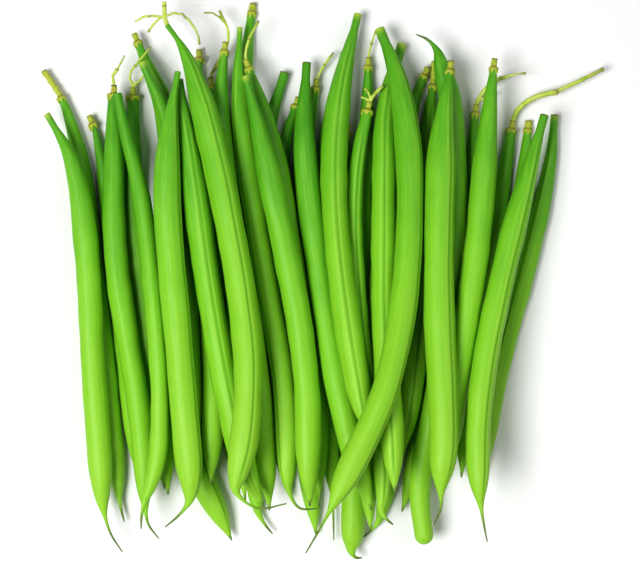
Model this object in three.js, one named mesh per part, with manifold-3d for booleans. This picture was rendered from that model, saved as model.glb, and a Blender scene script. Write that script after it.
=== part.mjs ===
// A bundle of freshly picked green beans lying on a table: 44 loose pods, piled two to
// four deep with their stem ends together, and the stalks that stayed on some of them.
// Millimetres, +Z up, +Y towards the stem ends, stood on z = 0 about its own centre.
import * as THREE from 'three';
import Module from 'manifold-3d';
import { mergeVertices } from 'three/addons/utils/BufferGeometryUtils.js';

const GAP = 0.36; // clearance between pieces that touch
const POD_SIDES = 8;
const STALK_SIDES = 6;
const STALK_STEP = 3.2; // spacing of the rings along a stalk
const FLATTENED = 0.4; // the underside of a pod this close to the table lies flat on it
const SAMPLE_STEP = 3; // spacing of the contact spheres along a pod
const SAMPLE_SLACK = 0.16; // what that spacing adds to the gap
const POD_NODES = 7; // points along a pod that move while the pile settles
// The pile falls together, then overlaps that are left are undone without falling.
const SETTLING = [
  { rounds: 400, stiffness: 0.06, fall: 0.12, drift: 1 },
  { rounds: 700, stiffness: 0.005, fall: 0, drift: 0 },
];
const LEANING = 0.8; // how readily pods that touch part sideways rather than up and down
const LOOK_AGAIN = 8; // rounds between two searches for pods that may touch

// Radii and lengths shared by every pod, from the cut stem end to the tail.
const STUB_RADIUS = 0.9;
const STUB_LENGTH = 2.6;
const CAP_RADIUS = 1.45;
const CAP_LENGTH = 0.8;
const NECK_RADIUS = 1.2;
const NECK_LENGTH = 1.6; // from the calyx to where a pod begins to swell
const CALYX_FLARE = 0.25; // how far the calyx stands out from a thick neck
const SHOULDER = 38; // where a pod reaches its full width
const TAPER = 12; // usual length of the narrowing tip
const BEAK_RADIUS = 0.55;
const TAIL_RADIUS = 0.28;
const SHORT_TAIL = 2.5;

const POD_GREENS = ['#5fae26', '#77c22f', '#8ccf38', '#6cb82b'];
const STALK_GREEN = '#c2cf63';

// The pods, the lowest first. `line` runs in plan from the stem end to the tip, and `tail`
// goes on from there; the pile settles from these places. A pod may also have a `neck` of
// its own radius, a `stub` of its own length, a neck that was `cut` through below the calyx,
// or a `lift`, which lets it fall onto its neighbours from higher up, and a blunt one a `taper`.
const LOWEST = [
  { width: 6, neck: 0.85,
    line: [[-70.5, 52.5], [-68.5, 47], [-65, 30], [-60.5, -3], [-56.5, -33], [-54.5, -54]] },
  { width: 5.4, cut: true, lift: 6,
    line: [[-52.6, 67.5], [-50.3, 62], [-46.5, 54], [-44, 42], [-45, 12], [-47, -18], [-46, -58.5]] },
  { width: 6.6, neck: 1.9,
    line: [[-58.2, 61], [-57.8, 48], [-56, 19.5], [-51, -12], [-45, -42], [-43, -57.5]] },
  { width: 8,
    line: [[-49.5, 77], [-45, 66.5], [-40, 55], [-38, 42], [-41, 12], [-42.5, -30], [-27.2, -73]] },
  { width: 6.6, neck: 0.95, line: [[-38, 72.5], [-39, 57], [-41.5, 12], [-37, -39], [-39, -54]] },
  { width: 5.4, line: [[-23.5, 86.5], [-25.5, 73.5], [-27.5, 51], [-32, -9], [-32.5, -36], [-29.5, -60]] },
  { width: 6, neck: 1.6, line: [[-34.5, 64], [-32, 51], [-29.5, 27], [-23.5, -33], [-24, -54]] },
  { width: 6.3, line: [[-28.5, 73.5], [-29.5, 54], [-26.5, 27], [-15.5, -33], [-12.5, -63]] },
  { width: 5.7, neck: 1.4, cut: true,
    line: [[-9, 65.5], [-16, 43.5], [-21, -6], [-22.5, -33], [-24, -57], [-22, -69]],
    tail: [[-18.5, -73.5]] },
  { width: 6, line: [[-6.5, 58], [-11.5, 43], [-17.5, -9], [-19, -39], [-16, -60.5]] },
  { width: 6, line: [[0, 63.5], [-4, 39], [-9.5, -9], [-8, -36], [-5, -71.5]] },
  { width: 5.7, cut: true, line: [[5, 71.5], [0.5, 48], [-1.5, 15], [3.5, -33], [5.5, -62]],
    tail: [[6, -75.5]] },
  { width: 7.2, taper: 5, line: [[8.5, 50], [8, 30], [6.5, 0], [10, -45], [11, -63], [10.8, -78.6]],
    tail: [[11.2, -81.4], [12.6, -82.4], [13.8, -80.4]] },
  { width: 6, line: [[18.5, 54.5], [15, 42], [13, 15], [7, -42], [8, -69]] },
  { width: 5.4, line: [[15.5, 70], [15, 54], [14, 27], [19, -36], [22.5, -57], [18.5, -71]],
    tail: [[17, -73.6], [14.4, -74.6]] },
  { width: 6.3, line: [[31, 67], [27.5, 58], [24.5, 45], [23, 20], [23.5, -27], [24.5, -51]] },
  { width: 6.9, stub: 7.4, line: [[33, 69], [32.4, 61], [31, 46.5], [31.5, 15], [28, -16.5], [24, -47]],
    tail: [[21.5, -55.5]] },
  { width: 6, line: [[40.5, 69], [40, 42], [38.5, 6], [29.5, -46.5], [25, -64.5]] },
  { width: 5.4, lift: -4, line: [[43, 56], [42, 40], [41, 3], [37, -57]] },
  { width: 6, neck: 1.5, line: [[58.5, 51], [55, 30], [46.5, -16.5], [43, -54]] },
  { width: 5.4, line: [[61, 51], [57.5, 25.5], [49, -18], [45, -50]] },
  { width: 6.3, line: [[-36, 34], [-36, 10], [-33, -25], [-33, -55]] },
  { width: 6.3, line: [[-38.5, 30], [-37.5, 0], [-34.5, -30], [-35.5, -60]] },
  { width: 6, line: [[45, 33], [43.5, 12], [39, -20], [35, -52]] },
];

const MIDDLE = [
  { width: 6.4, neck: 2.8, cut: true,
    line: [
      [31.2, -77], [29.5, -60], [34, -33], [40.5, 20], [38.3, 56], [36.9, 64.5], [34.6, 70.5], [33.6, 73],
    ],
    tail: [[33, 75.5], [31.5, 76.8], [28.2, 77.1]] },
  { width: 7.2, neck: 1, cut: true, lift: 5,
    line: [[-83, 53], [-75.5, 39], [-71, 13], [-69, -21], [-67, -48], [-65.5, -67.5]],
    tail: [[-63.5, -74], [-60, -79.5]] },
  { width: 6, cut: true, lift: -8,
    line: [[71, 53.5], [69, 37.5], [64, 17.5], [57.5, -6], [51.5, -27], [47.5, -45], [46, -56]] },
  { width: 5.4, neck: 1.6, line: [[13, 57], [9, 39], [8, 21], [11, -9], [17, -39], [18, -67.5]],
    tail: [[18.8, -69.8], [21.2, -70]] },
  { width: 5.8, stub: 9.6,
    line: [[-85, 67], [-79.5, 59], [-74, 43], [-69, 15], [-65, -12], [-60.5, -48], [-59, -64]],
    tail: [[-58.5, -68], [-57.5, -71]] },
  { width: 6, line: [[-23, 69.5], [-15.5, 49.5], [-5, 0], [-0.5, -30], [0.5, -60]], tail: [[0.5, -66]] },
  { width: 7.8, cut: true,
    line: [[-43.5, 63], [-42.5, 56], [-39.5, 34.5], [-30.5, -25.5], [-23, -55.5], [-19.5, -62]] },
  { width: 7, neck: 1.8, line: [[-63, 62], [-63, 42], [-62.5, 12], [-53.5, -48], [-53, -65.5]],
    tail: [[-52, -71], [-49, -75]] },
  { width: 5.4, neck: 1.4, cut: true, lift: 4,
    line: [[-61, 59], [-58.5, 48], [-53, 27], [-46.5, -30], [-48.5, -55.5], [-51.5, -64]],
    tail: [[-52, -71]] },
  { width: 7.8, cut: true, line: [[10.5, 84], [5.5, 60], [4, 33], [6.5, 3], [14.5, -40.5]] },
  { width: 7.5, line: [[52, 69.5], [50, 48], [47, 12], [38.5, -45], [35.5, -56.5]], tail: [[35, -59]] },
  { width: 6.6, neck: 0.8, cut: true,
    line: [[-25.2, 79.5], [-26, 60], [-22.5, 27], [-13, -33], [-12, -61]],
    tail: [[-10.8, -64], [-7.4, -66], [-3.4, -65.6]] },
  { width: 7.2, neck: 1.3, cut: true, line: [[-6.5, 69], [-7, 51], [-5, 27], [7.5, -39], [15.5, -63]] },
  { width: 7.5, neck: 1.5, cut: true,
    line: [[25.5, 75], [20.5, 58.5], [17.5, 20], [15.5, -24], [17, -57]] },
];

// the last of these lies across its neighbours
const TOP = [
  { width: 8, neck: 0.9, cut: true, line: [[-43.8, 66], [-46, 51], [-47, 25.5], [-42.5, -35], [-41, -65]],
    tail: [[-44, -68], [-48, -71.5]] },
  { width: 7.6, cut: true, line: [[-23, 65], [-17.5, 42], [-6, -21], [-5.5, -45], [-5, -63]] },
  { width: 8.6, neck: 0.75, cut: true,
    line: [[-47, 80.5], [-41.5, 72], [-32.5, 42], [-22.5, -20], [-24.5, -49.5], [-26.5, -60.5]],
    tail: [[-25.8, -63], [-22.4, -64.8], [-16.5, -64.4], [-11, -63.4]] },
  { width: 8.8, line: [[38.5, 69.5], [36.5, 54], [34.5, 24], [35, -12], [36.5, -42], [35.5, -60.5]],
    tail: [[35.5, -65], [33.5, -70]] },
  { width: 7.4, neck: 1.3, cut: true,
    line: [[67.5, 53.5], [62, 34.5], [47.2, -25.5], [45.8, -48], [46.5, -64.5]],
    tail: [[48.3, -75.5]] },
  { width: 7.8, neck: 1.5, cut: true,
    line: [[17.5, 80.5], [22.5, 66], [27, 33], [25, 0], [19.5, -26.5], [2.5, -64]],
    tail: [[-0.5, -69.5], [-5, -77]] },
];

// Stalks, each on the stem end of the pod whose number it gives. The points are measured
// from that end: across, along and up.
const STALKS = [
  { pod: 41, branches: [
    { radius: 0.7, points: [[0, 0, 0], [-0.5, 2, 0.2], [-0.6, 6.6, 0.6]] },
    { radius: 0.4, points: [[-0.5, 2, 0.3], [-4.4, 2.4, 0.8], [-7.3, 1.9, 1], [-9.3, 0.6, 0.8]] },
    { radius: 0.38, points: [[-0.4, 2.6, 0.3], [-3.4, 0.6, -0.3], [-5.6, -2.2, -1.4]] },
    { radius: 0.4,
      points: [[-0.4, 2.2, 0.3], [3.5, 3.4, 0.8], [7, 0.8, 0], [9.2, -3, -1.6], [9.6, -5.6, -3.2]] }] },
  { pod: 7, branches: [
    { radius: 0.5,
      points: [[0, 0, 0], [2.5, 4.3, 1.5], [5.2, 8.8, 3], [5.8, 12.4, 4], [4.6, 15.7, 4.6], [3, 19, 5]] },
    { radius: 0.42, points: [[4.9, 15, 4.5], [1.9, 18, 5], [-1.7, 18.3, 5]] },
    { radius: 0.4, points: [[0.6, 0.8, 0.4], [3.4, 4.2, 3.2], [5, 8.4, 4.6]] }] },
  { pod: 32, branches: [
    { radius: 0.55, points: [[0, 0, 0], [-0.6, 1.6, 0.4], [1.2, 4.4, 0.8]] },
    { radius: 0.38, points: [[0.8, 3.6, 0.7], [2.2, 6.2, 1.1], [3.4, 8.4, 1.4]] }] },
  { pod: 3, branches: [
    { radius: 0.45, points: [[0, 0, 0], [-1, 3, 1.5], [2, 6.3, 5.6], [6.2, 10.4, 9.5]] },
    { radius: 0.4, points: [[0, 0.2, 0.1], [1.6, 1.2, 0.5], [3.1, 2.8, 1]] }] },
  { pod: 30, branches: [{ radius: 0.5, points: [[0, 0, 0], [0.9, 4.8, 0.6], [4.2, 11.1, 1.2]] }] },
  { pod: 11, branches: [{ radius: 0.45, points: [[0, 0, 0], [2.2, 3.8, 0.4], [5, 7.6, 0.9]] }] },
  { pod: 15, branches: [{ radius: 0.4, points: [[0, 0, 0], [0.9, 4, 0.4], [2.2, 7.6, 0.6]] }] },
  { pod: 28, branches: [
    { radius: 0.6, points: [[0, 0, 0], [1.6, 2, 1], [4, 4.2, 2.4]] },
    { radius: 0.45, points: [[0, 0.2, 0.1], [-1.2, 1.2, 0.2], [-2.6, 1, -0.4]] },
    { radius: 0.4, points: [[0.2, 0.7, 0.4], [-0.6, 2.4, 0.8], [-1.6, 3.6, 0.6]] }] },
  { pod: 19, branches: [
    { radius: 0.7, points: [[0, 0, 0], [2.6, 4, 1.2], [6.4, 6.8, 3], [9, 7.4, 4.4]] },
    { radius: 0.45, points: [[8.6, 7.3, 4.3], [11.5, 8, 5.2], [14.4, 8.2, 5.6]] },
    { radius: 0.4, points: [[0.3, 0.6, 0.2], [3, 1.4, 0.6], [5.6, 2.8, 0.8]] }] },
  { pod: 20, branches: [
    { radius: 0.85,
      points: [[0, 0, 0], [1.5, 3.3, 1], [3.6, 4.9, 1.6], [6.3, 6.5, 2], [9.6, 7.4, 2.2], [13, 8, 2.2]] },
    { radius: 0.7, points: [[12.4, 8, 2.2], [19.8, 11.4, 2.1], [27, 15, 2]] }] },
];

const name = (kind, number) => `${kind}_${String(number).padStart(2, '0')}`;

// Length of the pod's own line, without its tail.
const bodyLength = (pod) => planCurve(pod.line).getLength();

function planCurve(points) {
  return new THREE.CatmullRomCurve3(points.map(([x, y]) => new THREE.Vector3(x, y, 0)));
}

// A pod whose tail isn't drawn goes straight on for a few millimetres.
function wholeLine(pod) {
  if (pod.tail) return [...pod.line, ...pod.tail];
  const [before, tip] = pod.line.slice(-2);
  const step = SHORT_TAIL / Math.hypot(tip[0] - before[0], tip[1] - before[1]);
  return [...pod.line, [tip[0] + (tip[0] - before[0]) * step, tip[1] + (tip[1] - before[1]) * step]];
}

// Radius at a distance s from the cut stem end.
function podRadius(pod, s) {
  const { neck, stub, cut, taper } = pod;
  const full = pod.width / 2;
  if (s < stub + CAP_LENGTH && cut) return neck;
  if (s < stub) return STUB_RADIUS;
  if (s < stub + CAP_LENGTH) return Math.max(CAP_RADIUS, neck + CALYX_FLARE);
  const neckEnd = stub + CAP_LENGTH + NECK_LENGTH;
  const rise = Math.min(Math.max(s - neckEnd, 0) / (SHOULDER - neckEnd), 1);
  const swelling = neck + (full - neck) * Math.sin(rise * Math.PI / 2);
  const fromTip = pod.length - s;
  if (fromTip > taper) return swelling;
  if (fromTip >= 0) return BEAK_RADIUS + (full - BEAK_RADIUS) * Math.sin(fromTip / taper * Math.PI / 2);
  const past = -fromTip / (pod.total - pod.length);
  return BEAK_RADIUS + (TAIL_RADIUS - BEAK_RADIUS) * past;
}

// Distances from the stem end at which a pod has a ring of vertices.
function podStations(pod) {
  const calyx = [pod.stub - 0.01, pod.stub + 0.01, pod.stub + CAP_LENGTH];
  const neckEnd = pod.stub + CAP_LENGTH + NECK_LENGTH;
  const swelling = [0, 0.22, 0.52, 1].map((share) => neckEnd + (SHOULDER - neckEnd) * share);
  const last = pod.length - pod.taper;
  const middle = [1, 2, 3].map((i) => SHOULDER + (last - SHOULDER) * i / 4);
  const tip = [last, last + pod.taper / 2, pod.length - 1];
  return [0, ...calyx, ...swelling, ...middle, ...tip, (pod.length + pod.total) / 2, pod.total];
}

// Contact spheres along a pod, and where each lies between two of the pod's nodes.
function podSamples(pod) {
  const count = Math.ceil(pod.total / SAMPLE_STEP);
  return Array.from({ length: count + 1 }, (_, i) => {
    const place = pod.plan.getPointAt(i / count);
    const position = i / count * (POD_NODES - 1);
    const node = Math.min(Math.floor(position), POD_NODES - 2);
    const along = pod.total * i / count;
    const r = Math.max(podRadius(pod, along - SAMPLE_STEP / 2), podRadius(pod, along + SAMPLE_STEP / 2));
    return { pod, x: place.x, y: place.y, r, node, share: position - node };
  });
}

const between = (values, { node, share }) => values[node] * (1 - share) + values[node + 1] * share;
const across = (sample) => sample.x + between(sample.pod.shift, sample);
const heightOf = (sample) => between(sample.pod.height, sample);

// Moves the two nodes around a sample so that the sample itself moves by `by`.
function nudge(values, { node, share }, by) {
  const scale = by / ((1 - share) ** 2 + share ** 2);
  values[node] += scale * (1 - share);
  values[node + 1] += scale * share;
}

// Values of the straight line that fits a row of node values best.
function straightFit(values) {
  const middle = (values.length - 1) / 2;
  const mean = values.reduce((sum, value) => sum + value) / values.length;
  const spread = values.reduce((sum, _, i) => sum + (i - middle) ** 2, 0);
  const slope = values.reduce((sum, value, i) => sum + (i - middle) * value, 0) / spread;
  return values.map((_, i) => mean + slope * (i - middle));
}

// One round of a pod's own motion: it straightens, falls and drifts back to its place.
function relax(pod, { stiffness, fall, drift }) {
  for (const values of [pod.height, pod.shift]) {
    straightFit(values).forEach((straight, i) => {
      values[i] += stiffness * (straight - values[i]);
    });
  }
  pod.hold.forEach((hold, i) => {
    pod.height[i] -= fall * pod.weight[i];
    pod.shift[i] *= 1 - drift * hold;
  });
}

// Pairs of samples on different pods that may come to touch in the next few rounds.
function nearPairs(samples) {
  const margin = 2;
  const pairs = [];
  samples.forEach((a, i) => {
    for (let j = i + 1; j < samples.length; j += 1) {
      const b = samples[j];
      const reach = a.r + b.r + margin;
      if (a.pod === b.pod || Math.abs(a.y - b.y) > reach) continue;
      if (Math.abs(across(a) - across(b)) > reach || Math.abs(heightOf(a) - heightOf(b)) > reach) continue;
      pairs.push([a, b]);
    }
  });
  return pairs;
}

// Pushes two samples apart until they clear each other.
function part([a, b]) {
  const dx = across(b) - across(a);
  const dz = heightOf(b) - heightOf(a);
  const reach = a.r + b.r + GAP + SAMPLE_SLACK;
  const distance = Math.hypot(dx, b.y - a.y, dz);
  if (distance >= reach) return;
  const flat = Math.max(Math.hypot(dx, dz), 0.1);
  const slope = Math.max(Math.hypot(dx * LEANING, dz), 0.1);
  const push = (Math.sqrt(Math.max(reach ** 2 - (b.y - a.y) ** 2, 0)) - flat) / 2;
  nudge(a.pod.shift, a, -push * dx * LEANING / slope);
  nudge(b.pod.shift, b, push * dx * LEANING / slope);
  nudge(a.pod.height, a, -push * dz / slope);
  nudge(b.pod.height, b, push * dz / slope);
}

function standOnTable(sample) {
  const low = sample.r * Math.cos(Math.PI / POD_SIDES) - heightOf(sample);
  if (low > 0) nudge(sample.pod.height, sample, low);
}

// Lets the whole pile settle under its own weight.
function settle(pods) {
  const samples = pods.flatMap(podSamples);
  let pairs = [];
  for (const { rounds, ...motion } of SETTLING) {
    for (let round = 0; round < rounds; round += 1) {
      if (round % LOOK_AGAIN === 0) pairs = nearPairs(samples);
      pods.forEach((pod) => relax(pod, motion));
      pairs.forEach(part);
      samples.forEach(standOnTable);
    }
  }
}

// Closed tube through rings of vertices: { centre, forward, radius } for each ring.
function tubeGeometry(rings, sides) {
  const up = new THREE.Vector3(0, 0, 1);
  const vertices = [];
  const faces = [];
  for (const { centre, forward, radius } of rings) {
    const side = new THREE.Vector3().crossVectors(forward, up).normalize();
    const top = new THREE.Vector3().crossVectors(side, forward);
    for (let k = 0; k < sides; k += 1) {
      const turn = (k + 0.5) * 2 * Math.PI / sides;
      const point = centre.clone().addScaledVector(side, radius * Math.sin(turn));
      point.addScaledVector(top, radius * Math.cos(turn));
      vertices.push(point.x, point.y, point.z < FLATTENED ? 0 : point.z);
    }
  }
  for (let ring = 0; ring < rings.length - 1; ring += 1) {
    for (let k = 0; k < sides; k += 1) {
      const a = ring * sides + k;
      const b = ring * sides + (k + 1) % sides;
      faces.push(a, b, a + sides, b, b + sides, a + sides);
    }
  }
  const end = (rings.length - 1) * sides;
  for (let k = 1; k < sides - 1; k += 1) faces.push(0, k + 1, k, end, end + k, end + k + 1);
  const geometry = new THREE.BufferGeometry();
  geometry.setAttribute('position', new THREE.Float32BufferAttribute(vertices, 3));
  geometry.setIndex(faces);
  return geometry;
}

function podRings(pod) {
  return podStations(pod).map((s) => {
    const u = s / pod.total;
    return { centre: pod.axis.getPoint(u), forward: pod.axis.getTangent(u), radius: podRadius(pod, s) };
  });
}

function stalkRings(points, radius) {
  const curve = new THREE.CatmullRomCurve3(points);
  const count = Math.ceil(curve.getLength() / STALK_STEP);
  return Array.from({ length: count + 1 }, (_, i) => ({
    centre: curve.getPointAt(i / count),
    forward: curve.getTangentAt(i / count),
    radius,
  }));
}

function mesh(geometry, label, colour, roughness) {
  const material = new THREE.MeshStandardMaterial({ color: colour, roughness, metalness: 0 });
  const result = new THREE.Mesh(geometry, material);
  result.name = label;
  return result;
}

const wasm = await Module();
wasm.setup();

// The branches of a stalk are joined into one solid.
function joined(geometries) {
  const solids = geometries.map((geometry) => {
    const merged = mergeVertices(geometry);
    const vertProperties = merged.attributes.position.array;
    const triVerts = Uint32Array.from(merged.index.array);
    return new wasm.Manifold(new wasm.Mesh({ numProp: 3, vertProperties, triVerts }));
  });
  const result = solids.reduce((whole, solid) => whole.add(solid)).getMesh();
  const geometry = new THREE.BufferGeometry();
  geometry.setAttribute('position', new THREE.BufferAttribute(result.vertProperties, 3));
  geometry.setIndex(new THREE.BufferAttribute(result.triVerts, 1));
  return geometry;
}

function stalkMesh(stalk, index) {
  const pod = PODS[stalk.pod - 1];
  const [end] = podRings(pod);
  const foot = end.centre.clone().addScaledVector(end.forward, -GAP);
  const tubes = stalk.branches.map(({ radius, points }) => {
    const route = points.map((offset) => new THREE.Vector3(...offset).add(foot));
    return tubeGeometry(stalkRings(route, radius), STALK_SIDES);
  });
  return mesh(joined(tubes), name('stalk', index + 1), STALK_GREEN, 0.6);
}

function podMesh(pod, index) {
  const green = POD_GREENS[index % POD_GREENS.length];
  return mesh(tubeGeometry(podRings(pod), POD_SIDES), name('pod', index + 1), green, 0.42);
}

// Weight of a pod about one of its nodes, as a share of that about its widest part.
function weightShare(pod, node) {
  const s = pod.total * node / (POD_NODES - 1);
  return (2 * podRadius(pod, s) / pod.width) ** 2;
}

// Gives each pod of a layer its shape, its first height and how firmly it keeps its place.
// `spread` is how far the layer reaches out, compared with a wide lowest one.
function prepare(layer, firstHeight, spread, holds) {
  const drawnIn = ([x, y]) => [x * spread, y * spread];
  layer.forEach((pod, i) => {
    pod.line = pod.line.map(drawnIn);
    pod.tail = pod.tail?.map(drawnIn);
    pod.neck ??= NECK_RADIUS;
    pod.stub ??= STUB_LENGTH;
    pod.taper ??= TAPER;
    pod.length = bodyLength(pod);
    pod.plan = planCurve(wholeLine(pod));
    pod.total = pod.plan.getLength();
    pod.shift = Array(POD_NODES).fill(0);
    pod.height = Array(POD_NODES).fill(firstHeight + i * 0.25 + (pod.lift ?? 0));
    pod.weight = pod.shift.map((_, node) => weightShare(pod, node));
    pod.hold = Array(POD_NODES).fill(holds.body);
    pod.hold[0] = holds.stemEnd;
    pod.hold[POD_NODES - 1] = holds.tip;
  });
}

// The settled centreline of a pod in space.
function settledAxis(pod) {
  const steps = 24;
  return new THREE.CatmullRomCurve3(Array.from({ length: steps + 1 }, (_, i) => {
    const place = pod.plan.getPointAt(i / steps);
    const position = i / steps * (POD_NODES - 1);
    const node = Math.min(Math.floor(position), POD_NODES - 2);
    const sample = { pod, x: place.x, node, share: position - node };
    return new THREE.Vector3(across(sample), place.y, heightOf(sample));
  }));
}

prepare(LOWEST, 4, 1, { stemEnd: 0.8, body: 0.03, tip: 0.4 });
prepare(MIDDLE, 12, 0.985, { stemEnd: 0.8, body: 0.1, tip: 0.4 });
prepare(TOP, 20, 0.968, { stemEnd: 0.8, body: 0.4, tip: 0.6 });
const PODS = [...LOWEST, ...MIDDLE, ...TOP];
settle(PODS);
PODS.forEach((pod) => {
  pod.axis = settledAxis(pod);
});

const bundle = new THREE.Group();
bundle.add(...PODS.map(podMesh), ...STALKS.map(stalkMesh));
const box = new THREE.Box3().setFromObject(bundle);
const centre = box.getCenter(new THREE.Vector3());
bundle.position.set(-centre.x, -centre.y, -box.min.z);

export default bundle;
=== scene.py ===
import math

import bpy
import numpy as np
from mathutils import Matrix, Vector


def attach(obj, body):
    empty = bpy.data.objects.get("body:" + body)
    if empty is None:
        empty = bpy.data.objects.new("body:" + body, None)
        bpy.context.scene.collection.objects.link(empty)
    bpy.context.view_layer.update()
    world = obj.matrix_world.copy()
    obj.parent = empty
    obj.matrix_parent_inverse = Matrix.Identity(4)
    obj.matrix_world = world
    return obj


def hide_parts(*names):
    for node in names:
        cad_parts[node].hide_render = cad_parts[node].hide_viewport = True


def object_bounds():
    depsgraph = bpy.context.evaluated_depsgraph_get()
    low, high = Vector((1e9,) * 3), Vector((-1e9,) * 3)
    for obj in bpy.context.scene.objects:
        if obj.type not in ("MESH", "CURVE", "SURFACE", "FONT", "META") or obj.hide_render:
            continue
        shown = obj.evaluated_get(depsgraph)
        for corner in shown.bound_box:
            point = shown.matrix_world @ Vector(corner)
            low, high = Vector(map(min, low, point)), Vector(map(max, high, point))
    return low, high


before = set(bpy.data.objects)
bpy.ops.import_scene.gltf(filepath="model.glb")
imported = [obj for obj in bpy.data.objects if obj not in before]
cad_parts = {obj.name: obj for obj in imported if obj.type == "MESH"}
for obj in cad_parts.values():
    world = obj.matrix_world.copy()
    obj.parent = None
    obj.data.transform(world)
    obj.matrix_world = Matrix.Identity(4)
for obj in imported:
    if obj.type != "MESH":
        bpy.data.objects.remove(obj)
CAD_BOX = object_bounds()

# Shapes are worked out in millimetres, and turned into metres where a mesh is made.
MM = 0.001
TURN = 2 * math.pi
STEP = 0.7  # from one ring of a pod's skin to the next
SKIN_SIDES = 48
CAP_SIDES = 40
LEAST_HEIGHT = 0.02  # of a pod's skin above the floor
FIRST_DRAW = 100  # start of the random numbers of the first CAD node

# Lengths of a pod's parts along its line from the stem end.
CAP_LENGTH = 0.8
NECK_LENGTH = 1.6
SHOULDER = 38.0
USUAL_TAPER = 12.0
PAST_LAST_RING = 1

# The dried tail: its end, and its root where it leaves the body.
TAIL_RADIUS = 0.18
TAIL_ROOT = 3.5
TAIL_ROOT_RADIUS = 0.42
TAIL_ROOT_SHARE = 0.6  # the most of a short tail that its root takes

# The pod's width near its tip: distances before the end of the body, and shares of the full radius.
TIP_DISTANCES = (0, 1.5, 4, 7, 10.5, 14, 20)
TIP_SHARES = (0.2, 0.36, 0.60, 0.79, 0.92, 0.98, 1.0)

# Rings of the CAD pod, counted from its stem end.
STUB_RING = 1
CAP_RING = 2
NECK_RING = 3
FULL_RING = 9
TAPER_RING = 11
LAST_BODY_RING = 13

CALYX_FLARE = 1.04  # a cap wider than this many necks is a calyx
BLUNT_NECK = 2.0  # a cut end thicker than this is rounded off
PODS_UPSIDE_DOWN = ("pod_25",)
BROWN_ENDS = ("pod_37", "pod_43", "pod_27", "pod_09")
PALE_ENDS = ("pod_02", "pod_26", "pod_27", "pod_34", "pod_36", "pod_38", "pod_40", "pod_44")

# Turn of the seam of the pods that show it, in degrees from straight up towards +X.
SEAM_TURN = {"pod_41": 22, "pod_31": 12, "pod_34": 5, "pod_38": -2, "pod_17": 8, "pod_39": 62,
             "pod_44": 55, "pod_42": 38, "pod_43": 30, "pod_05": -20, "pod_27": -35, "pod_36": -48,
             "pod_28": 15, "pod_04": 40}
HIDDEN_SEAM_TURN = 118

# The uneven body of a pod, in shares of its radius, and how it starts and fades along the line.
BODY_RISE, BODY_FADE = 12, 9
OVAL = 0.03  # deeper from seam to back than across
WAVES = ((0.02, 7.1), (0.015, 3.7))  # height, and length for one radian
TWIST, TWIST_LENGTH = 0.015, 9

# Relief of the skin: the seam's groove, the lips beside it, and the ridge along the back.
SEAM_DEPTH, SEAM_WIDTH = 0.10, 0.3
SEAM_SHADE_WIDTH = 0.32
LIP_HEIGHT, LIP_WIDTH, LIP_OFFSET = 0.07, 0.4, 0.75
RIDGE_HEIGHT, RIDGE_WIDTH = 0.07, 0.25

# Seeds: where the first one may lie, how far apart they are, how long, and how far they stand out.
FIRST_SEED = (0, 8)
SEEDS_BEFORE_SHOULDER = 12
SEED_SPACING = (9, 14)
SEED_LENGTH = 3.4
SEED_SWELL = (0.08, 0.2)

# Rings that close the skin's stem end, when it is cut and when it is thick and rounded off.
CUT_RINGS, CUT_RING_SHARES = (0.2, 0.06, 0.0, 0.08, 0.25), (0.35, 0.8, 0.92, 0.99, 1.0)
ROUNDING = (6, 18, 32, 47, 62, 78)
END_GAP = 0.3

# Colours that fade out: how far the cut's colours reach, over what length, and how a tail dries.
PALE_REACH, PALE_FADE = 2.6, 2.4
BROWN_REACH, BROWN_FADE = 0.7, 0.6
DRY_SHARE, LEAST_DRYING = 0.7, 2

# The cap: rings at the cut with shares of the stub's radius, rings of the calyx, and its points.
CUT_PLACES, CUT_SHARES = (0.14, 0.0, 0.1, 0.25), (0.35, 0.82, 1.0, 1.02)
CALYX_PLACES = (-0.25, 0.0, 0.22, 0.5, 0.7, 0.85, 0.6)
CALYX_EDGE_SHARE, CALYX_EDGE_GAP = 0.86, 0.06
CALYX_POINTS = 5
CALYX_POINT_LENGTH = 1.5

STALK_VOXEL = 0.16
STALK_REACH = 0.5  # how far a stalk's foot moves to close the gap to its pod
STALK_FOOT = 1.6  # the part near the pod that moves
KNOT_PLACE, KNOT_WIDTH, KNOT_HEIGHT = 0.5, 0.025, 0.12
STALK_THINNING = 0.07


def smooth(t):
    """An eased step from 0 to 1."""
    t = np.clip(t, 0, 1)
    return t * t * (3 - 2 * t)


def bell(distance, width):
    """A swell of 1 at distance 0 that fades within about two widths."""
    return np.exp(-(distance / width) ** 2)


def phase(dice):
    """A random start for a wave, in radians."""
    return dice.uniform(0, 6)


# ---------------------------------------------------------------- lines and rings

def welded(node):
    """Corners of a CAD node in millimetres, doubles merged, and its triangles between them."""
    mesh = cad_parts[node].data
    co = np.empty(len(mesh.vertices) * 3)
    mesh.vertices.foreach_get("co", co)
    microns = np.round(co.reshape(-1, 3) * 1e6)
    corners, index = np.unique(microns, axis=0, return_inverse=True)
    index = index.reshape(-1)
    triangles = np.array([[index[v] for v in polygon.vertices] for polygon in mesh.polygons])
    return corners / 1000, triangles


def end_ring(node, corners, triangles):
    """The corners of the flat face that ends the pod's stem."""
    stem_side = -1 if node in PODS_UPSIDE_DOWN else 1
    first = np.argmax(corners[:, 1] * stem_side)
    a, b, c = (corners[triangles[(triangles == first).any(axis=1), k]] for k in range(3))
    normals = np.cross(b - a, c - a)
    normals /= np.maximum(np.linalg.norm(normals, axis=1), 1e-9)[:, None]
    flat = normals[np.argmax(np.abs(normals[:, 1]))]
    to_first = corners - corners[first]
    on_face = (np.abs(to_first @ flat) < 0.05) & (np.linalg.norm(to_first, axis=1) < 8)
    return set(np.flatnonzero(on_face))


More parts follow.
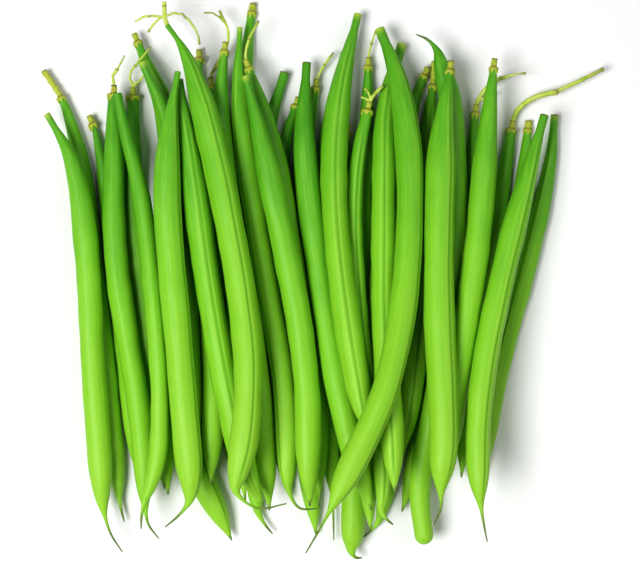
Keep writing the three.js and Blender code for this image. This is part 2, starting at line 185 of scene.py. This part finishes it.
def pod_rings(node):
    """The CAD pod's rings of corners, one after another from the stem end."""
    corners, triangles = welded(node)
    neighbours = [set() for _ in corners]
    for triangle in triangles:
        for corner in triangle:
            neighbours[corner].update(triangle)
    ring = end_ring(node, corners, triangles)
    seen = set()
    rings = []
    while ring:
        rings.append(corners[sorted(ring)])
        seen |= ring
        ring = set().union(*(neighbours[i] for i in ring)) - seen
    return rings


def ring_radius(ring):
    """Distance from a ring's centre to its farthest corner."""
    return np.linalg.norm(ring - ring.mean(axis=0), axis=1).max()


def curve_through(points):
    """A smooth curve through the points, sampled about every STEP, with its arc length."""
    points = np.asarray(points, float)
    spans = np.linalg.norm(np.diff(points, axis=0), axis=1)
    knots = np.concatenate([[0], np.cumsum(spans)])
    slopes = np.gradient(points, knots, axis=0)
    count = max(int(knots[-1] / STEP), 4)
    s = np.linspace(0, knots[-1], count + 1)
    i = np.clip(np.searchsorted(knots, s, side="right") - 1, 0, len(spans) - 1)
    h = spans[i][:, None]
    t = ((s - knots[i]) / spans[i])[:, None]
    p0, p1, m0, m1 = points[i], points[i + 1], slopes[i] * h, slopes[i + 1] * h
    curve = ((2 * t ** 3 - 3 * t ** 2 + 1) * p0 + (t ** 3 - 2 * t ** 2 + t) * m0
             + (3 * t ** 2 - 2 * t ** 3) * p1 + (t ** 3 - t ** 2) * m1)
    return curve, s


class PodLine:
    """A pod's centreline with its frame, and the measures of its parts."""

    def __init__(self, node):
        rings = pod_rings(node)
        centres = [ring.mean(axis=0) for ring in rings]
        self.stub = np.linalg.norm(centres[CAP_RING] - centres[0])
        self.stub_radius = ring_radius(rings[STUB_RING])
        self.cap = ring_radius(rings[CAP_RING])
        self.neck = ring_radius(rings[NECK_RING])
        self.radius = ring_radius(rings[FULL_RING])
        self.calyx = self.cap > self.neck * CALYX_FLARE
        self.neck_end = self.stub + CAP_LENGTH + NECK_LENGTH
        end, taper = centres[LAST_BODY_RING], centres[TAPER_RING]
        del centres[CAP_RING]  # it lies on the ring before it
        self.curve, self.s = curve_through(centres)
        self.total = self.s[-1]
        self.body = self.distance(end) + PAST_LAST_RING
        self.taper = self.body - self.distance(taper)
        self.tail = self.total - self.body
        forward = np.gradient(self.curve, self.s, axis=0)
        forward /= np.linalg.norm(forward, axis=1)[:, None]
        side = np.cross(forward, [0, 0, 1])
        side /= np.linalg.norm(side, axis=1)[:, None]
        if side[:, 0].mean() < 0:
            side = -side
        up = np.cross(side, forward)
        up *= np.sign(up[:, 2])[:, None]
        self.forward, self.side, self.up = forward, side, up

    def distance(self, point):
        """Distance along the line of the place nearest to a point."""
        return self.s[np.argmin(np.linalg.norm(self.curve - point, axis=1))]

    def at(self, values, place):
        """Values kept along the line, read at any distances."""
        return np.stack([np.interp(place, self.s, values[:, k]) for k in range(3)], axis=-1)

    def surface(self, place, turn, radius):
        """Points around the line: rows of distances, turns from straight up, and radii."""
        place = np.broadcast_to(place, radius.shape)
        spoke = (np.cos(turn)[None, :, None] * self.at(self.up, place)
                 + np.sin(turn)[None, :, None] * self.at(self.side, place))
        rows = self.at(self.curve, place) + radius[:, :, None] * spoke
        rows[:, :, 2] = np.maximum(rows[:, :, 2], LEAST_HEIGHT)
        return rows


# ---------------------------------------------------------------- meshes

def tube_mesh(name, rows):
    """Closed mesh through rows of points, each row a loop of the same size."""
    count, around = len(rows), len(rows[0])
    faces = []
    for i in range(0, (count - 1) * around, around):
        for j in range(around):
            k = (j + 1) % around
            faces.append((i + j, i + k, i + around + k, i + around + j))
    faces.append(tuple(range(around))[::-1])
    faces.append(tuple(range((count - 1) * around, count * around)))
    mesh = bpy.data.meshes.new(name)
    mesh.from_pydata((rows.reshape(-1, 3) * MM).tolist(), [], faces)
    mesh.update()
    return mesh


def add_place(mesh, place, turn, radius):
    """Stores where each vertex lies in a straightened pod, for the grain of the materials."""
    along = np.broadcast_to(place, radius.shape)
    local = np.stack([radius * np.cos(turn), radius * np.sin(turn), along], axis=2)
    store = mesh.attributes.new("local", "FLOAT_VECTOR", "POINT")
    store.data.foreach_set("vector", local.astype(np.float32).ravel())


def add_values(mesh, shape, **values):
    """Stores one number per vertex under each name, for vertices laid out in this shape."""
    for name, value in values.items():
        value = np.broadcast_to(np.asarray(value, np.float32), shape)
        mesh.attributes.new(name, "FLOAT", "POINT").data.foreach_set("value", value.ravel())


def orient_outwards(mesh):
    """Turns the faces of a closed mesh to point out."""
    volume = sum(p.center.dot(p.normal) * p.area for p in mesh.polygons)
    if volume < 0:
        mesh.flip_normals()


def piece(name, mesh, material, slot, *nodes):
    """A finished piece that stands for CAD nodes and moves with the one body."""
    part = bpy.data.objects.new(name, mesh)
    bpy.context.scene.collection.objects.link(part)
    mesh.materials.append(material)
    mesh.shade_smooth()
    orient_outwards(mesh)
    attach(part, "root")
    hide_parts(*nodes)


# ---------------------------------------------------------------- pods

def body_radius(line, s):
    """Radius of the round pod at distances s, without seeds or seam."""
    rise = np.clip((s - line.neck_end) / (SHOULDER - line.neck_end), 0, 1)
    radius = line.neck + (line.radius - line.neck) * np.sin(rise * math.pi / 2)
    stretch = line.taper / USUAL_TAPER
    root = min(TAIL_ROOT, TAIL_ROOT_SHARE * line.tail)
    to_end = [-line.tail, -root, *(distance * stretch for distance in TIP_DISTANCES)]
    width = [TAIL_RADIUS, TAIL_ROOT_RADIUS, *(share * line.radius for share in TIP_SHARES)]
    tip = np.interp(line.body - s, to_end, width)
    softened = np.convolve(np.pad(tip, 3, mode="edge"), np.full(7, 1 / 7), mode="valid")
    tip = np.where(line.body - s > -1, softened, np.minimum(tip, softened))
    return np.minimum(radius, tip)


def seed_places(line, dice):
    """Distances of the seeds along a pod."""
    places = []
    s = SHOULDER - SEEDS_BEFORE_SHOULDER + dice.uniform(*FIRST_SEED)
    while s < line.body - line.taper:
        places.append(s)
        s += dice.uniform(*SEED_SPACING)
    return places


def end_rows(line):
    """Distances and shares of the neck's radius where the skin closes the stem end."""
    if line.calyx:
        return np.array([line.stub + 0.1]), np.array([0.8])
    if line.neck > BLUNT_NECK:
        swing = np.radians(ROUNDING)
        return line.neck * (1 - np.cos(swing)), np.sin(swing)
    return np.array(CUT_RINGS), np.array(CUT_RING_SHARES)


def pod_skin(node, line, dice):
    """The green skin from the stem end to the end of the tail."""
    end, end_shares = end_rows(line)
    first = end.max() + END_GAP
    s = np.concatenate([end, np.linspace(first, line.total, int((line.total - first) / STEP))])
    end_share = np.ones_like(s)
    end_share[:len(end)] = end_shares
    round_radius = body_radius(line, s)[:, None]
    s, end_share = s[:, None], end_share[:, None]

    turn = np.linspace(0, TURN, SKIN_SIDES, endpoint=False)
    seam = math.radians(SEAM_TURN.get(node, HIDDEN_SEAM_TURN + dice.uniform(-25, 100)))
    from_seam = (turn - seam + math.pi) % TURN - math.pi
    to_seam = from_seam * round_radius
    to_back = (math.pi - np.abs(from_seam)) * round_radius
    on_body = smooth((s - line.neck_end) / BODY_RISE) * smooth((line.body - s) / BODY_FADE)

    radius = round_radius * (1 + OVAL * on_body * np.cos(2 * from_seam))
    waves = sum(height * np.sin(s / length + phase(dice)) for height, length in WAVES)
    radius *= 1 + waves * on_body
    twist = TWIST * np.sin(turn * 2 + s / TWIST_LENGTH + phase(dice))
    radius *= 1 + twist * on_body
    for place in seed_places(line, dice):
        swell = dice.uniform(*SEED_SWELL) * bell(s - place, SEED_LENGTH)
        radius += swell * np.sin(from_seam) ** 2
    lips = on_body * bell(np.abs(to_seam) - LIP_OFFSET, LIP_WIDTH)
    ridge = RIDGE_HEIGHT * on_body * bell(to_back, RIDGE_WIDTH)
    groove = SEAM_DEPTH * on_body * bell(to_seam, SEAM_WIDTH)
    radius += LIP_HEIGHT * lips + ridge - groove
    radius *= end_share

    mesh = tube_mesh(node + "_skin", line.surface(s, turn, radius))
    cut = not line.calyx and line.neck <= BLUNT_NECK
    # How far it is from the neck to the tip, which picks the greens: partly own colour, partly
    # painted shade towards the top of the bundle and painted light towards the bottom. It is turned
    # round on the pod that lies stem end down, so its painted shade stays at the top.
    along = np.clip(s / line.body, 0, 1)
    if node in PODS_UPSIDE_DOWN:
        along = 1 - along
    add_place(mesh, s, turn, radius)
    add_values(mesh, radius.shape,
               along=along,
               tail=smooth((s - line.body) / max(DRY_SHARE * line.tail, LEAST_DRYING)),
               seam=bell(to_seam, SEAM_SHADE_WIDTH) * on_body,
               lips=lips,
               pale=smooth((PALE_REACH - s) / PALE_FADE) * (cut and node in PALE_ENDS),
               browned=smooth((BROWN_REACH - s) / BROWN_FADE) * (cut and node in BROWN_ENDS),
               tone=dice.uniform(0, 1))
    return mesh


def pod_cap(node, line, dice):
    """The stub of stalk left on a pod, and the calyx that clasps its neck."""
    edge = max(line.neck + CALYX_EDGE_GAP, line.cap * CALYX_EDGE_SHARE)
    stub = np.linspace(0.45, line.stub - 0.5, max(int(line.stub / 0.4), 3))
    s = np.concatenate([CUT_PLACES, stub, line.stub + np.array(CALYX_PLACES)])[:, None]
    bumps = 0.96 + 0.06 * np.sin(stub * 2.3 + phase(dice))
    radius = np.concatenate([
        line.stub_radius * np.array(CUT_SHARES),
        line.stub_radius * bumps,
        [line.stub_radius * 1.1, line.cap * 0.9, line.cap, line.cap * 0.97, (line.cap + edge) / 2,
         edge, line.neck - 0.15]])
    turn = np.linspace(0, TURN, CAP_SIDES, endpoint=False)
    points = (0.5 + 0.5 * np.cos(CALYX_POINTS * turn + phase(dice))) ** 1.5
    reach = CALYX_POINT_LENGTH * points * (0.75 + 0.25 * np.sin(turn + phase(dice)))
    place = s + reach * smooth((s - line.stub - 0.3) / 0.4)
    lumps = 1 + 0.05 * np.sin(3 * turn + s * 2.2 + phase(dice))
    lumps = lumps + 0.03 * np.sin(7 * turn - s * 3.1 + phase(dice))
    radius = radius[:, None] * lumps
    mesh = tube_mesh(node + "_cap", line.surface(place, turn, radius))
    add_place(mesh, place, turn, radius)
    add_values(mesh, radius.shape,
               end=smooth((0.9 - s) / 0.8),
               fold=bell(s - line.stub + 0.1, 0.3),
               tone=dice.uniform(0, 1))
    return mesh


# ---------------------------------------------------------------- stalks

def melted(node):
    """The CAD stalk with its facets melted into one round surface."""
    source = bpy.data.objects.new(node + "_source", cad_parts[node].data.copy())
    bpy.context.scene.collection.objects.link(source)
    remesh = source.modifiers.new("melt", "REMESH")
    remesh.mode = "VOXEL"
    remesh.voxel_size = STALK_VOXEL * MM
    soften = source.modifiers.new("soften", "SMOOTH")
    soften.factor = 0.5
    soften.iterations = 4
    graph = bpy.context.evaluated_depsgraph_get()
    mesh = bpy.data.meshes.new_from_object(source.evaluated_get(graph))
    bpy.data.objects.remove(source)
    mesh.materials.clear()
    return mesh


def stalk_mesh(node, lines):
    """The branched stalk, down to the pod it grew on, with a knot halfway and uneven bark."""
    mesh = melted(node)
    mesh.name = node + "_bark"
    co, normal = np.empty((2, len(mesh.vertices) * 3))
    mesh.vertices.foreach_get("co", co)
    mesh.vertices.foreach_get("normal", normal)
    co, normal = co.reshape(-1, 3) / MM, normal.reshape(-1, 3)

    line = min(lines, key=lambda line: np.linalg.norm(co - line.curve[0], axis=1).min())
    away = np.linalg.norm(co - line.curve[0], axis=1)
    co += line.forward[0] * STALK_REACH * smooth(STALK_FOOT - away)[:, None]
    share = away / away.max()
    knot = bell(share - KNOT_PLACE, KNOT_WIDTH)
    ripples = 0.04 * np.sin(away * 1.9) + 0.02 * np.sin(away * 5.3 + co[:, 0])
    swell = ripples - STALK_THINNING * smooth((share - 0.4) / 0.6)
    swell += KNOT_HEIGHT * knot
    co += normal * swell[:, None]
    mesh.vertices.foreach_set("co", (co * MM).ravel())
    add_values(mesh, share.shape, away=share, knot=knot)
    return mesh


# ---------------------------------------------------------------- materials

class Nodes:
    """Short calls for building a node material."""

    def __init__(self, name):
        self.material = bpy.data.materials.new(name)
        self.material.use_nodes = True
        self.tree = self.material.node_tree
        self.tree.nodes.clear()
        self.output = self.add("ShaderNodeOutputMaterial")
        self.shader = self.add("ShaderNodeBsdfPrincipled")
        self.link(self.shader.outputs[0], self.output.inputs[0])

    def add(self, kind, **settings):
        node = self.tree.nodes.new(kind)
        for name, value in settings.items():
            setattr(node, name, value)
        return node

    def link(self, source, target):
        self.tree.links.new(source, target)

    def feed(self, target, value):
        """Links a socket to the target, or sets the target to a plain value."""
        if isinstance(value, bpy.types.NodeSocket):
            self.link(value, target)
        else:
            target.default_value = value

    def attribute(self, name, vector=False):
        node = self.add("ShaderNodeAttribute", attribute_name=name)
        return node.outputs["Vector" if vector else "Fac"]

    def object_place(self):
        return self.add("ShaderNodeTexCoord").outputs["Object"]

    def math(self, operation, a, b, clamp=False):
        node = self.add("ShaderNodeMath", operation=operation, use_clamp=clamp)
        self.feed(node.inputs[0], a)
        self.feed(node.inputs[1], b)
        return node.outputs[0]

    def times(self, a, b):
        return self.math("MULTIPLY", a, b)

    def centred(self, value, gain):
        """A value from 0 to 1 as a swing about 0."""
        return self.times(self.math("SUBTRACT", value, 0.5), gain)

    def above(self, value, threshold, gain):
        """How far a value rises above a threshold, times a gain, kept from 0 to 1."""
        excess = self.math("SUBTRACT", value, threshold, clamp=True)
        return self.math("MULTIPLY", excess, gain, clamp=True)

    def stretched(self, vector, scale):
        node = self.add("ShaderNodeVectorMath", operation="MULTIPLY")
        self.feed(node.inputs[0], vector)
        node.inputs[1].default_value = scale
        return node.outputs[0]

    def offset(self, vector, amount):
        node = self.add("ShaderNodeVectorMath", operation="ADD")
        combine = self.add("ShaderNodeCombineXYZ")
        for socket in combine.inputs:
            self.feed(socket, amount)
        self.feed(node.inputs[0], vector)
        self.link(combine.outputs[0], node.inputs[1])
        return node.outputs[0]

    def noise(self, vector, scale, detail=4.0, roughness=0.55):
        node = self.add("ShaderNodeTexNoise")
        self.feed(node.inputs["Vector"], vector)
        node.inputs["Scale"].default_value = scale
        node.inputs["Detail"].default_value = detail
        node.inputs["Roughness"].default_value = roughness
        return node.outputs["Fac"]

    def ramp(self, value, stops):
        node = self.add("ShaderNodeValToRGB")
        elements = node.color_ramp.elements
        while len(elements) < len(stops):
            elements.new(0.5)
        for element, (place, colour) in zip(elements, stops):
            element.position = place
            element.color = (*colour, 1)
        self.feed(node.inputs[0], value)
        return node.outputs["Color"]

    def mix(self, factor, a, b):
        """Colour a turned into colour b by the factor; b is a socket or a plain colour."""
        node = self.add("ShaderNodeMix", data_type="RGBA")
        self.feed(node.inputs["Factor"], factor)
        self.link(a, node.inputs[6])
        self.feed(node.inputs[7], b if isinstance(b, bpy.types.NodeSocket) else (*b, 1))
        return node.outputs[2]

    def bump(self, height, strength, distance, below=None):
        node = self.add("ShaderNodeBump")
        node.inputs["Strength"].default_value = strength
        node.inputs["Distance"].default_value = distance
        self.feed(node.inputs["Height"], height)
        if below is not None:
            self.link(below, node.inputs["Normal"])
        return node.outputs[0]

    def set(self, **values):
        """Sets sockets of the shader by name, with _ for each space."""
        for name, value in values.items():
            self.feed(self.shader.inputs[name.replace("_", " ")], value)


# Colours of the skin, from the neck to the tip, and of what lies on it. The neck-to-tip greens are
# partly the pod's own colour and partly painted shade and light: darker at the top of the bundle,
# lighter at the bottom.
SKIN_GREENS_AND_PAINTED_SHADE = ((0.0, (0.07, 0.31, 0.011)), (0.22, (0.12, 0.41, 0.016)), (0.55, (0.21, 0.53, 0.023)),
               (0.85, (0.25, 0.56, 0.028)), (1.0, (0.28, 0.57, 0.036)))
PALE_STREAK = (0.42, 0.74, 0.07)
DEEP_STREAK = (0.07, 0.30, 0.008)
FLECK = (0.45, 0.75, 0.12)
LIP_GREEN = (0.44, 0.76, 0.09)
SEAM_GREEN = (0.06, 0.26, 0.006)
PALE_CUT = (0.42, 0.56, 0.07)
BROWN_CUT = (0.13, 0.10, 0.03)
DRY_TAIL = ((0.3, (0.17, 0.25, 0.045)), (0.7, (0.07, 0.11, 0.02)))

CALYX_YELLOWS = ((0.3, (0.30, 0.42, 0.03)), (0.55, (0.46, 0.52, 0.06)), (0.75, (0.58, 0.58, 0.12)))
CALYX_BROWN = (0.20, 0.14, 0.02)
FOLD_BROWN = (0.14, 0.10, 0.02)
STUB_END_BROWN = (0.10, 0.075, 0.03)

STALK_YELLOWS = ((0.3, (0.30, 0.46, 0.04)), (0.5, (0.50, 0.62, 0.10)), (0.75, (0.64, 0.72, 0.20)))
STALK_BROWN = (0.17, 0.13, 0.03)

FLOOR_GREYS = ((0.3, (0.85, 0.85, 0.85)), (0.7, (0.87, 0.87, 0.87)))


def skin_material():
    """Bean skin: darker at the neck and yellow-green at the tip, partly its own colour and partly
    painted shade at the top of the bundle and painted light at the bottom; streaked, slightly waxy.
    """
    n = Nodes("bean_skin")
    tone = n.attribute("tone")
    own = n.offset(n.attribute("local", vector=True), n.times(tone, 173.0))
    streaks = n.noise(n.stretched(own, (1.3, 1.3, 0.03)), 1.0, 5.0, 0.62)
    clouds = n.noise(n.stretched(own, (0.25, 0.25, 0.06)), 1.0, 3.0)
    specks = n.noise(own, 3.2, 2.0)

    # The neck-to-tip greens hold painted shade at the top of the bundle and painted light at the
    # bottom, as well as the pod's own colour.
    shifted = n.math("ADD", n.attribute("along"), n.centred(clouds, 0.5))
    shifted = n.math("ADD", shifted, n.centred(tone, 0.22), clamp=True)
    colour = n.ramp(shifted, SKIN_GREENS_AND_PAINTED_SHADE)
    colour = n.mix(n.above(streaks, 0.48, 0.9), colour, PALE_STREAK)
    colour = n.mix(n.math("SUBTRACT", 0.46, streaks, clamp=True), colour, DEEP_STREAK)
    colour = n.mix(n.above(specks, 0.62, 0.9), colour, FLECK)
    colour = n.mix(n.times(n.attribute("lips"), 0.3), colour, LIP_GREEN)
    colour = n.mix(n.times(n.attribute("seam"), 0.75), colour, SEAM_GREEN)
    colour = n.mix(n.times(n.attribute("pale"), 0.75), colour, PALE_CUT)
    colour = n.mix(n.times(n.attribute("browned"), 0.85), colour, BROWN_CUT)
    dry = n.ramp(n.noise(own, 0.9, 3.0), DRY_TAIL)
    colour = n.mix(n.attribute("tail"), colour, dry)

    rough = n.math("ADD", 0.38, n.times(specks, 0.22))
    rough = n.math("ADD", rough, n.times(n.attribute("seam"), 0.4), clamp=True)
    relief = n.bump(streaks, 0.35, 0.25 * MM)
    grain = n.bump(n.noise(own, 5.0, 3.0), 0.25, 0.06 * MM, relief)
    n.set(Base_Color=colour, Roughness=rough, Specular_IOR_Level=0.3, Normal=grain)
    n.set(Subsurface_Weight=0.12, Subsurface_Scale=1.2 * MM, Subsurface_Radius=(0.5, 1.0, 0.15))
    return n.material


def cap_material():
    """Calyx and cut stub: dull yellow-green, browned at the cut and in the folds."""
    n = Nodes("calyx")
    tone = n.attribute("tone")
    own = n.offset(n.attribute("local", vector=True), n.times(tone, 91.0))
    patches = n.noise(own, 0.9, 4.0)
    fibres = n.noise(n.stretched(own, (3.5, 3.5, 0.5)), 1.0, 4.0)
    colour = n.ramp(patches, CALYX_YELLOWS)
    colour = n.mix(n.above(patches, 0.55, 4.0), colour, CALYX_BROWN)
    colour = n.mix(n.times(n.attribute("fold"), 0.6), colour, FOLD_BROWN)
    scorch = n.times(n.attribute("end"), n.math("ADD", 0.25, n.times(tone, 0.75)))
    colour = n.mix(scorch, colour, STUB_END_BROWN)
    n.set(Base_Color=colour, Roughness=n.math("ADD", 0.5, n.times(fibres, 0.25)))
    n.set(Specular_IOR_Level=0.3, Normal=n.bump(fibres, 0.6, 0.15 * MM))
    n.set(Subsurface_Weight=0.08, Subsurface_Scale=0.8 * MM, Subsurface_Radius=(0.6, 0.8, 0.2))
    return n.material


def stalk_material():
    """Thin stalks: yellow-green, browner at the knot and towards the broken ends."""
    n = Nodes("stalk_bark")
    place = n.object_place()
    patches = n.noise(place, 320.0, 4.0)
    fibres = n.noise(place, 1500.0, 3.0)
    old = n.above(n.attribute("away"), 0.78, 4.0)
    worn = n.math("MAXIMUM", n.times(old, 0.8), n.times(n.attribute("knot"), 0.7))
    spots = n.above(patches, 0.60, 3.5)
    colour = n.ramp(patches, STALK_YELLOWS)
    colour = n.mix(n.math("MAXIMUM", worn, spots), colour, STALK_BROWN)
    n.set(Base_Color=colour, Roughness=0.6, Specular_IOR_Level=0.3)
    n.set(Normal=n.bump(fibres, 0.5, 0.12 * MM))
    return n.material


def floor_material():
    """An even pale grey."""
    n = Nodes("pale_floor")
    colour = n.ramp(n.noise(n.object_place(), 3.0, 2.0), FLOOR_GREYS)
    n.set(Base_Color=colour, Roughness=0.9, Specular_IOR_Level=0.1)
    return n.material


# ---------------------------------------------------------------- stage, in metres

FLOOR_HALF = 30.0

KEY_PLACE, KEY_SIZE, KEY_ENERGY = (-0.38, -0.16, 0.78), 0.42, 7.0
FILL_PLACE, FILL_SIZE, FILL_ENERGY = (0.55, 0.25, 0.8), 0.9, 3.0
SKY_STRENGTH = 0.10

LENS = 100
SENSOR = 36
PICTURE_WIDTH = 0.188
PICTURE_LEVEL = 0.016  # the height at which the picture is that wide
PICTURE_OFFSET = (-0.0008, -0.0032)  # of the picture's centre from the bundle's


def make_floor():
    mesh = bpy.data.meshes.new("floor")
    corners = [(-1, -1), (1, -1), (1, 1), (-1, 1)]
    mesh.from_pydata([(x * FLOOR_HALF, y * FLOOR_HALF, 0) for x, y in corners], [], [(0, 1, 2, 3)])
    mesh.materials.append(floor_material())
    floor = bpy.data.objects.new("floor", mesh)
    bpy.context.scene.collection.objects.link(floor)


def area_light(name, place, size, energy):
    """A round soft light that faces the bundle."""
    light = bpy.data.lights.new(name, "AREA")
    light.shape = "DISK"
    light.size = size
    light.energy = energy
    lamp = bpy.data.objects.new(name, light)
    lamp.location = place
    lamp.rotation_euler = (-Vector(place)).to_track_quat("-Z", "Y").to_euler()
    bpy.context.scene.collection.objects.link(lamp)


def make_light():
    area_light("key", KEY_PLACE, KEY_SIZE, KEY_ENERGY)
    area_light("fill", FILL_PLACE, FILL_SIZE, FILL_ENERGY)
    world = bpy.data.worlds.new("studio")
    world.use_nodes = True
    sky = world.node_tree.nodes["Background"]
    sky.inputs["Color"].default_value = (1, 1, 1, 1)
    sky.inputs["Strength"].default_value = SKY_STRENGTH
    bpy.context.scene.world = world


def make_camera():
    """Straight above the bundle with the stem ends at the top of the picture."""
    low, high = CAD_BOX
    camera = bpy.data.cameras.new("camera")
    camera.lens = LENS
    camera.sensor_width = SENSOR
    camera.clip_start = 0.01
    view = bpy.data.objects.new("camera", camera)
    height = PICTURE_WIDTH * camera.lens / camera.sensor_width
    view.location = ((low[0] + high[0]) / 2 + PICTURE_OFFSET[0],
                     (low[1] + high[1]) / 2 + PICTURE_OFFSET[1],
                     height + PICTURE_LEVEL)
    bpy.context.scene.collection.objects.link(view)
    bpy.context.scene.camera = view


# ---------------------------------------------------------------- the bundle

def make_bundle():
    skin, cap, bark = skin_material(), cap_material(), stalk_material()
    names = sorted(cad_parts)
    lines = {node: PodLine(node) for node in names if node.startswith("pod")}
    for number, node in enumerate(names):
        dice = np.random.RandomState(FIRST_DRAW + number)
        if node not in lines:
            piece(node + "_bark", stalk_mesh(node, lines.values()), bark, "stalk", node)
            continue
        piece(node + "_skin", pod_skin(node, lines[node], dice), skin, "pod_skin", node)
        if lines[node].calyx:
            piece(node + "_cap", pod_cap(node, lines[node], dice), cap, "stalk", node)


make_camera()
make_light()
make_floor()
make_bundle()
bpy.context.scene.view_settings.view_transform = "Standard"
bpy.context.scene.view_settings.look = "Medium High Contrast"
